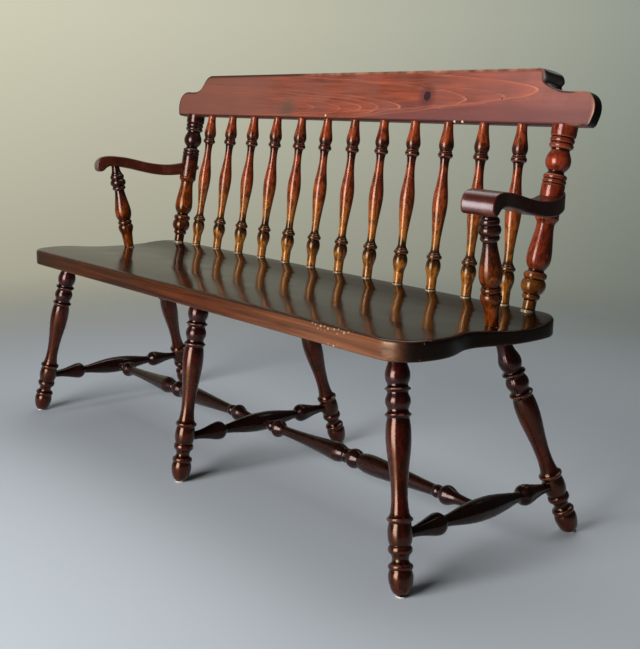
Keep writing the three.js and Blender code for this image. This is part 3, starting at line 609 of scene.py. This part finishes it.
# The right-hand post's stain is thin: golden at the foot and an orange red above, where the red
# shows through. The left-hand one took it thicker: amber brown low down, umber above.
thin_birch = stained_birch(
    "turned birch, thin red brown stain, lacquered", foot=("#8e5820", "#321606"),
    head=("#9a3c22", "#38120a"), sunk="#200603", edge="#a0664a", glint=("#ffc878", "#ffa890"),
    change=(0.14, 0.3), toner=("#481206", 0.4))
thick_birch = stained_birch(
    "turned birch, umber stain, lacquered", foot=("#863c10", "#1f0903"),
    head=("#481c0f", "#140503"), sunk="#080303", edge="#765044", glint=("#ffb060", "#e8b4a4"),
    change=(0.38, 0.68), toner=("#120606", 0.7))
post_birch = {-1: thick_birch, 1: thin_birch}
sides = [(-1, "left"), (1, "right")]
for side, name in sides:
    turned(f"back_post_{name}", post_feet[side], post_heads[side], post_outline,
           post_birch[side], glue_top=1.9)

# Arm posts
# Two short birch posts that carry the arms in front, leaning forward, with a vase between bead
# groups and a long plain foot let into the seat. They are stained like the left back post.

arm_post_outline = smoothed([
    [(0, -4)], [(13.6, -4)], [(13.6, 0.4)], [(13.2, 1.4), (12.3, 1.8)],
    [(12.5, 8), (13.4, 20), (14.5, 34), (14.9, 38)],
    [(16.4, 42.5), (18.9, 49), (20, 55.5), (18.9, 61), (16, 64.5)],
    [(18, 66.7), (18.6, 70), (17.7, 73.3), (15.5, 75.5)],
    [(17.6, 79.5), (20.4, 87), (21.6, 96), (21.1, 106), (19.4, 117), (17.1, 129), (14.9, 141),
     (13.4, 151), (12.8, 158)], [(15.8, 160), (17.7, 163.8), (16.9, 167.3), (15.4, 169)],
    [(18.8, 172.8), (20.6, 178.7), (19.4, 184), (16, 188)],
    [(17.8, 190.7), (18.3, 194.7), (17.2, 198.8), (14.8, 201)],
    [(14.4, 203.5), (12.6, 207), (11.2, 213), (10.4, 226)], [(0, 226)],
])
arm_post_foot_setback, arm_post_head_setback = 271, 239.3
arm_post_foot_spread, arm_post_head_spread = 659.3, 668
arm_underside = 649
dip = np.interp(arm_post_foot_setback / seat_depth, *rises) * seat_scoop
for side, name in sides:
    foot = place(side * arm_post_foot_spread, arm_post_foot_setback, seat_level + dip)
    head = place(side * arm_post_head_spread, arm_post_head_setback, arm_underside)
    turned(f"arm_post_{name}", foot, head, arm_post_outline, thick_birch,
           glue_top=1.5)

# Arms
# Two arms sawn from thick birch: a hand that rolls over in front, a waist behind it and a broad
# end notched round the back post and screwed to it. Stained nearly black and lacquered.

arm_turn, arm_roll = np.radians(20.6), np.radians(3.7)
arm_side = smoothed([
    [(-51.6, -5)],
    [(-52.9, 2), (-52.4, 10), (-49.4, 17.4), (-41.1, 25.8), (-30.6, 29.6), (-17.6, 30.8),
     (5.9, 29.2), (31.6, 26.2), (57.7, 20.6), (89.1, 13.6), (117.7, 9.6), (153.3, 8.5), (185.7, 12),
     (206.2, 15.6), (231.8, 20.5)], [(231.8, -8.5)],
    [(200.4, -15.9), (176.9, -20.1), (144.1, -21.2), (111.7, -18), (80.6, -11.9), (32.9, -1.4),
     (1.3, 3.2), (-12, 3.9), (-21, 2.2), (-27.6, -1.6), (-33, -7.2), (-40, -10.6), (-47.2, -9.2),
     (-51.6, -5)],
])
arm_outer = [
    (-54, 30.1), (-45, 30.6), (-10, 36.0), (25, 37.9), (60, 43.8), (95, 54.2), (130, 62.3),
    (165, 69.2), (200, 70.7), (214, 69), (232, 62.5),
]
arm_inner = [
    (-54, -33.2), (-45, -32.8), (-10, -26.6), (25, -10.9), (60, -0.3), (95, 8.7), (130, 18),
    (165, 21.8), (190, 24.2), (202, 33), (214, 41), (232, 48),
]
arm_spine = [(-36, 10), (-20, 17), (10, 16), (60, 6), (110, -3), (150, -6), (215, 0)]
arm_thickness, arm_arris = 70, 4.2
arm_grain_step = 0.4  # metres each way from the middle of the noise


def sawn_arm(side):
    """The side outline as a board's surface, its thickness then pressed to the plan: at each
    length the board's two faces go to the plan's inner and outer edge. Gives the points in the
    bench's place and in the arm's own."""
    outline = strides(arm_side, stride=2.2)
    spine_line = through(arm_spine, 8)
    along = np.clip(outline[:, 0], spine_line[0, 0], spine_line[-1, 0])
    spine = np.column_stack([along, np.interp(along, *spine_line.T)])
    rows = board(outline, spine, 0, arm_thickness, arm_arris, arm_arris, face_rows=8)
    lengths, z, share = rows[..., 0], rows[..., 1], rows[..., 2] / arm_thickness
    outer, inner = (np.interp(lengths, *through(edge, 10).T) for edge in (arm_outer, arm_inner))
    t = inner + share * (outer - inner)
    x = arm_post_head_spread + t * np.cos(arm_turn) - lengths * np.sin(arm_turn)
    y = arm_post_head_setback + lengths * np.cos(arm_turn) + t * np.sin(arm_turn)
    up = arm_underside + z - t * np.tan(arm_roll)
    grid = np.stack([side * x * mm, front_edge + y * mm, up * mm], axis=-1)
    return grid, np.stack([t, lengths, z], axis=-1) * mm


# Birch stained to a black brown: dark, soft in gloss, and worn warm in patches by hands.
arm_birch, tree = material("sawn birch, ebony brown stain, lacquered")
grain = add(tree, "Attribute", attribute_name="grain").outputs["Vector"]
# Streaks 3.3 mm wide and 55 mm long, as drawn on the turnings, and rubs 26 mm across
streak_place = add(tree, "Mapping", {"Vector": grain, "Scale": (300, 18, 300)})
streaks = add(tree, "TexNoise", {
    "Vector": streak_place, "Scale": 1.0, "Detail": 4.0, "Roughness": 0.6})
wear_and_highlight_patches = wear(tree, grain, 26, 0.52, 0.74)
ripple = add(tree, "TexNoise", {"Vector": grain, "Scale": 160.0})
relief = add(tree, "Bump", {"Height": ripple, "Strength": 0.15, "Distance": 0.5 * mm})
add(tree, "OutputMaterial", {"Surface": add(tree, "BsdfPrincipled", {
    "Base Color": coats(tree, "#542010", (streaks, "#200b07"), (wear_and_highlight_patches, "#5a3022")),
    "Roughness": 0.28, "IOR": 1.5, "Specular Tint": "#f0dce4", "Coat Weight": 0.3,
    "Coat Roughness": 0.32, "Normal": relief, "Coat Normal": relief})})
for side, name in sides:
    grid, own = sawn_arm(side)
    arm = skin(f"sawn_arm_{name}", grid, arm_birch, grain=own + arm_grain_step * side)
    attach(arm, "root")
    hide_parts(f"arm_{name}")

# Arm screws and their buttons
# A zinc-plated wood screw runs through each back post into the arm. Its head is sunk, and a
# domed birch button, stained like the post, is pressed over it.

button_bearing, button_height, post_joint_radius = np.radians(57), 646, 22.2
button_seat, button_length = 1.2, 6
button_outline = smoothed([
    [(0, -4)], [(5, -4)], [(5, 0.2)], [(6.2, 0.3)],
    [(6.2, 1.6), (5.7, 3.3), (4.2, 4.8), (2.2, 5.6), (0, 5.9)],
])
# Plated steel, dull grey where it can be seen at all, with plating worn in 2 mm patches.
zinc, tree = material("zinc-plated steel")
own_place = add(tree, "TexCoord").outputs["Object"]
patches = wear(tree, own_place, 2, 0.4, 0.7)
add(tree, "OutputMaterial", {"Surface": add(tree, "BsdfPrincipled", {
    "Base Color": coats(tree, "#a9a9a4", (patches, "#7f7c75")), "Roughness": 0.38,
    "Metallic": 1.0})})
for side, name in sides:
    foot, head = post_feet[side], post_heads[side]
    centre = foot + (head - foot) * (button_height * mm - foot[2]) / (head[2] - foot[2])
    out = np.array([-side * np.cos(button_bearing), np.sin(button_bearing), 0])
    rest = centre + out * (post_joint_radius - button_seat) * mm
    turned(f"screw_button_{name}", rest, rest + out * button_length * mm, button_outline,
           post_birch[side], name=f"wooden_button_{name}")
    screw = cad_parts[f"arm_screw_{name}"]
    screw.data.materials.clear()
    screw.data.materials.append(zinc)

# Crest rail
# One wide pine board, knotty, sawn to rounded ears with a swept shoulder above each, its arrises
# eased, leaning back with the posts and bored from below for every upright.

crest_length, crest_height, crest_thickness, crest_ear = 1416, 109.5, 24, 147
crest_arris = 3.6
spine_inset, spine_rise = 70, 0.32  # in mm from each end, and as a share of the height
crest_end = [
    (0.082, 0), (0.048, 0.03), (0.024, 0.11), (0.003, 0.22), (0, 0.29), (0.014, 0.4),
    (0.061, 0.5), (0.136, 0.57), (0.238, 0.6), (0.374, 0.594), (0.476, 0.596), (0.571, 0.61),
    (0.646, 0.645), (0.71, 0.71), (0.755, 0.79), (0.796, 0.868), (0.85, 0.94), (0.918, 0.986),
    (1, 1),
]
# The right-hand shoulder is dished. From its ledge to the top, as shares of that height, its front
# arris is cut in and its back one left to bulge, in mm
crest_dish = [
    (0, 0, 0), (0.1, -6, -1), (0.235, -13, 4), (0.46, -17, 17), (0.75, -9, 19), (0.9, -4, 13),
    (1, 0, 3),
]
ledge = 0.6  # its height as a share of the rail's
dish_inset, dish_reach = 106, 34  # from the rail's end to the dish's middle, and each way from it
half, face_deep = crest_length / 2, crest_thickness / 2
in_share, up_share = np.transpose(crest_end)
outline = walked(
    np.column_stack([half - in_share * crest_ear, up_share * crest_height]), bends=5, stride=4)
own = board(outline, spine_of(outline, half - spine_inset, spine_rise * crest_height), -face_deep,
            face_deep, crest_arris, crest_arris, face_rows=14)
arris_mark, _, across_mark = board_marks(own, outline)
x, up, deep = own[..., 0], own[..., 1], own[..., 2]
dish = through(crest_dish, 8).T
to_top = np.clip((up / crest_height - ledge) / (1 - ledge), 0, 1)
cut_in, bulge = (np.interp(to_top, dish[0], dish[i]) for i in (1, 2))
to_front = np.clip(deep / crest_thickness + 0.5, 0, 1)
x += np.exp(-((x - half + dish_inset) / dish_reach) ** 4) * (bulge + to_front * (cut_in - bulge))
grid = [0, front_edge, 0] + mm * np.stack([
    x, crest_setback - deep * np.cos(crest_lean) + up * np.sin(crest_lean),
    crest_underside + deep * np.sin(crest_lean) + up * np.cos(crest_lean)], axis=-1)

# Knotty pine, stained a pinkish red brown under satin lacquer: pale growth lines in long arrow
# heads along the middle, two knots with a dark rim, and a painted hazy sheen over it.
knotty_pine, tree = material("knotty pine, red brown stain, satin lacquer")
board_place = add(tree, "Attribute", attribute_name="board").outputs["Vector"]
board_x, board_up, _ = add(tree, "SeparateXYZ", {"Vector": board_place}).outputs
# The grain wanders by up to 40 mm, over patches 140 mm long and 33 mm high
swirl_place = add(tree, "Mapping", {"Vector": board_place, "Scale": (7, 30, 10)})
swirl = add(tree, "TexNoise", {"Vector": swirl_place, "Scale": 1.0})
pushed = add(tree, "Math", {0: swirl, 1: 40 * mm, 2: board_x}, operation="MULTIPLY_ADD")
# Knots, as x, height and size in mm: the grain flows round each, and a dark rim fades out of it
halo = 0.0
for x_knot, up_knot, size in [(275.3, 54.7, 10.5), (484, 50, 1.2)]:
    knot = (x_knot, up_knot, face_deep)
    flow = round_spot(tree, board_place, knot, size, size * 4.5, **smooth)
    pushed = add(tree, "Math", {0: flow, 1: size * 3.2 * mm, 2: pushed}, operation="MULTIPLY_ADD")
    core = round_spot(tree, board_place, knot, size * 0.92, size * 1.05)
    rim = round_spot(tree, board_place, knot, size, size * 3.2, 0.5, **smooth)
    for dark in (core, rim):
        halo = add(tree, "Math", {0: halo, 1: dark}, operation="MAXIMUM")
# The growth surfaces are cut as arrow heads that point to the right: where each has its tip, how
# many mm its line falls back for each square mm off the tip's height, and how strongly it shows
arrows = [
    (-97, 26, 0.34, 0.25), (-1, 26, 0.34, 0.35), (76, 27, 0.34, 0.5), (132, 29, 0.3, 0.6),
    (196, 32, 0.3, 0.6), (385, 49, 0.2, 0.6), (491, 53, 0.3, 0.4), (572, 66, 0.24, 1.0),
]
# From its front, 18 mm past the tip, each has a line 10 mm wide and a tint that fades over 78 mm
arrow_front, arrow_edge, line_width, tint_width = 18, 2.5, 10, 78
drift = add(tree, "Math", {0: swirl, 1: 14 * mm, 2: -7 * mm}, operation="MULTIPLY_ADD")
level = add(tree, "Math", {0: board_up, 1: drift}, operation="SUBTRACT")
line, tint = 0.0, 0.0
for x_tip, up_tip, fall, strength in arrows:
    front = (x_tip + arrow_front) * mm
    off = add(tree, "Math", {0: level, 1: up_tip * mm}, operation="SUBTRACT")
    square = add(tree, "Math", {0: off, 1: off}, operation="MULTIPLY")
    behind = add(tree, "Math", {0: square, 1: fall / mm, 2: pushed}, operation="MULTIPLY_ADD")
    inside = add(tree, "MapRange", {
        "Value": behind, "From Min": front + arrow_edge * mm, "From Max": front})
    fades = (
        add(tree, "MapRange", {
            "Value": behind, "From Min": front - width * mm, "From Max": front,
            "To Max": strength}, **how)
        for width, how in ((line_width, smooth), (tint_width, {})))
    line, tint = (
        add(tree, "Math", {0: so_far, 1: add(
            tree, "Math", {0: fade, 1: inside}, operation="MULTIPLY")}, operation="MAXIMUM")
        for so_far, fade in zip((line, tint), fades))
faint = wear(tree, board_place, 60, 0.3, 0.6)
line = add(tree, "Math", {0: line, 1: faint}, operation="MULTIPLY")
tint = add(tree, "Math", {0: tint, 1: 0.35}, operation="MULTIPLY")
streak_place = add(tree, "Mapping", {"Vector": board_place, "Scale": (6, 110, 60)})
streaks = add(tree, "TexNoise", {
    "Vector": streak_place, "Scale": 1.0, "Detail": 5.0, "Roughness": 0.6, "Distortion": 0.5})
contrast = add(tree, "MapRange", {"Value": streaks, "From Min": 0.3, "From Max": 0.7})
cloud = wear(tree, board_place, 95, 0.4, 0.75)
# A painted sheen makes the left end browner and greyer and the right end pinker. Along the lower
# half of the right the tone is darker and more purple. A painted highlight lies along the top,
# from left of the middle on, and round the right ear. Each starts at none mm and is at its
# most at full
left_painted_sheen, right_painted_sheen, lower_half, right_of_middle, near_top, past_middle, by_ear = (
    add(tree, "MapRange", {
        "Value": way, "From Min": none * mm, "From Max": full * mm, "To Max": most}, **how)
    for way, none, full, most, how in [
        (board_x, -80, -420, 0.75, smooth), (board_x, 200, 700, 0.65, smooth),
        (board_up, 56, 16, 0.75, smooth), (board_x, -20, 200, 1, {}), (board_up, 90, 104, 1, {}),
        (board_x, -180, -100, 1, {}), (board_x, 640, 670, 1, {})])
darker_lower_right = add(tree, "Math", {0: lower_half, 1: right_of_middle}, operation="MULTIPLY")
# A dark smudge of stain low on the left
smudge = round_spot(tree, board_place, (-204, 22, face_deep), 6, 42, 0.6, **smooth)
# The arris is painted darker, a painted shade on the rounded edges. Along the top, from left of the
# middle on, and round the right ear, it is painted pale in patches: a painted highlight
arris, across = (
    add(tree, "Attribute", attribute_name=mark).outputs["Fac"] for mark in ("arris", "across"))
along_top = add(tree, "Math", {0: near_top, 1: past_middle}, operation="MULTIPLY")
highlit_part = add(tree, "Math", {0: along_top, 1: by_ear}, operation="MAXIMUM")
wear_and_highlight_patches = wear(tree, board_place, 34, 0.3, 0.7)
highlit_arris_patches = add(tree, "Math", {0: arris, 1: wear_and_highlight_patches}, operation="MULTIPLY")
rubbed_and_highlit = add(tree, "Math", {0: highlit_arris_patches, 1: highlit_part}, operation="MULTIPLY")
end_grain = add(tree, "MapRange", {"Value": across, "From Min": 0.2, "From Max": 0.5}, **smooth)
tone = coats(
    tree, "#964830", (contrast, "#542419"), (left_painted_sheen, "#784c40"), (right_painted_sheen, "#96625c"),
    (cloud, "#74463c"), (darker_lower_right, "#643c3a"), (smudge, "#4c4238"), (tint, "#b45c42"),
    (line, "#c07858"), (halo, "#2c141c"), (arris, "#3c1c14"), (rubbed_and_highlit, "#a66c50"),
    (end_grain, "#0c0504"))
# Three chips in the lower arris, down to the bare wood
for x_chip, up_chip in [(-52, 9), (366, 2), (388, 2)]:
    chip = round_spot(tree, board_place, (x_chip, up_chip, face_deep - 0.6), 2.2, 3.4, 0.9)
    tone = coats(tree, tone, (chip, "#e0c49c"))
relief = add(tree, "Bump", {"Height": streaks, "Strength": 0.12, "Distance": 0.5 * mm})
add(tree, "OutputMaterial", {"Surface": add(tree, "BsdfPrincipled", {
    "Base Color": tone, "Roughness": 0.36, "IOR": 1.47, "Normal": relief})})
crest = skin(
    "crest_board", grid, knotty_pine, board=own * mm, arris=arris_mark, across=across_mark)
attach(crest, "root")
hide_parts("crest_rail")

# Studio
# A pale plain floor that fades into a grey-green backdrop, a tall soft lamp in front, as from a
# doorway, and a broad weak one above.


def facing(spot, back, tilt=0.0):
    """How a lamp or camera stands at spot with its back that way: level, then turned by tilt
    about its line of sight."""
    back = back / np.linalg.norm(back)
    side = np.cross([0, 0, 1], back)
    side /= np.linalg.norm(side)
    up = np.cross(back, side)
    side, up = np.cos(tilt) * side + np.sin(tilt) * up, np.cos(tilt) * up - np.sin(tilt) * side
    axes = Matrix(np.column_stack([side, up, back]).tolist())
    return Matrix.Translation(spot) @ axes.to_4x4()


reach = 4.0
floor_mesh = bpy.data.meshes.new("studio_floor")
corners = [(-reach, -reach, 0), (reach, -reach, 0), (reach, reach, 0), (-reach, reach, 0)]
floor_mesh.from_pydata(corners, [], [(0, 1, 2, 3)])
floor = new_object("studio_floor", floor_mesh)
painted, tree = material("painted studio floor, matt")
own_place = add(tree, "TexCoord").outputs["Object"]
far = add(tree, "VectorMath", {0: own_place}, operation="LENGTH")
fade = add(tree, "MapRange", {"Value": far, "From Min": 0.9, "From Max": 3.2}, **smooth)
shade = add(tree, "BsdfPrincipled", {
    "Base Color": "#bcc2c8", "Roughness": 0.9, "Specular IOR Level": 0.1})
add(tree, "OutputMaterial", {"Surface": add(tree, "MixShader", {
    0: fade, 1: shade, 2: add(tree, "BsdfTransparent")})})
floor_mesh.materials.append(painted)

world = bpy.data.worlds.new("studio")
bpy.context.scene.world = world
world.use_nodes = True
tree = world.node_tree
tree.nodes.clear()
# The backdrop is a little brighter to the left, where the light comes from. Its own light on the
# bench is faint, and gloss shows it behind the bench and a dim room in front and to the right.
rightward, backward, upward = add(tree, "SeparateXYZ", {
    "Vector": add(tree, "TexCoord").outputs["Generated"]}).outputs
by_side, downward, behind_bench, not_right, to_left = (
    add(tree, "MapRange", {
        "Value": way, "From Min": start, "From Max": stop, "To Min": first, "To Max": last}, **how)
    for way, start, stop, first, last, how in [
        (rightward, -0.97, -0.5, 0, 1, {}), (upward, 0.08, -0.2, 1, 0.56, {}),
        (backward, -0.25, 0.2, 0.05, 0.62, smooth), (rightward, -1, -0.25, 1, 0.04, smooth),
        (rightward, -0.5, -0.9, 0, 0.4, smooth)])
wall_back = add(tree, "Math", {0: behind_bench, 1: not_right}, operation="MULTIPLY")
dim = add(tree, "Math", {0: wall_back, 1: to_left}, operation="MAXIMUM")
ray = add(tree, "LightPath").outputs
through_gloss = add(tree, "Math", {
    0: ray["Is Glossy Ray"], 1: ray["Is Transmission Ray"]}, operation="MAXIMUM")
mirrored = add(tree, "Math", {0: dim, 1: through_gloss}, operation="MULTIPLY")
seen = add(tree, "Math", {0: ray["Is Camera Ray"], 1: mirrored}, operation="MAXIMUM")
air = add(tree, "Background", {"Color": "#9aa39f", "Strength": 0.1})
wall = add(tree, "Background", {
    "Color": coats(tree, "#d6d2ba", (by_side, "#868f87")), "Strength": downward})
add(tree, "OutputWorld", {"Surface": add(tree, "MixShader", {0: seen, 1: air, 2: wall})})

for name, spot, aim, size, power in [
    ("window_lamp", (0.5, -2.9, 1.05), (0.2, 0, 0.8), (1.7, 2.1), 152),
    ("ceiling_lamp", (-0.4, 0.8, 2.8), (0, 0, 0.4), (2.4, 1.8), 34),
]:
    lamp = new_object(name, bpy.data.lights.new(name, "AREA"))
    lamp.data.shape, lamp.data.energy = "RECTANGLE", power
    lamp.data.size, lamp.data.size_y = size
    lamp.matrix_world = facing(spot, np.array(spot) - aim)

# Camera
# Where the photograph was taken from: to the right of the bench and in front, level with the
# crest rail, looking a little down, with the phone tilted by just under a degree.

sensor_width, photo_width, focal_length = 36, 640, 1050.663  # in mm, then in pixels
camera = new_object("camera", bpy.data.cameras.new("camera"))
camera.data.sensor_fit, camera.data.sensor_width = "HORIZONTAL", sensor_width
camera.data.lens = focal_length * sensor_width / photo_width
camera.data.shift_x, camera.data.shift_y = 0.0005, 0.0047
camera.matrix_world = facing(
    (1.89755, front_edge - 1.15346, 0.81287), (0.75521657, -0.62295038, 0.2039136), tilt=0.015)
bpy.context.scene.camera = camera
bpy.context.scene.view_settings.view_transform = "Standard"
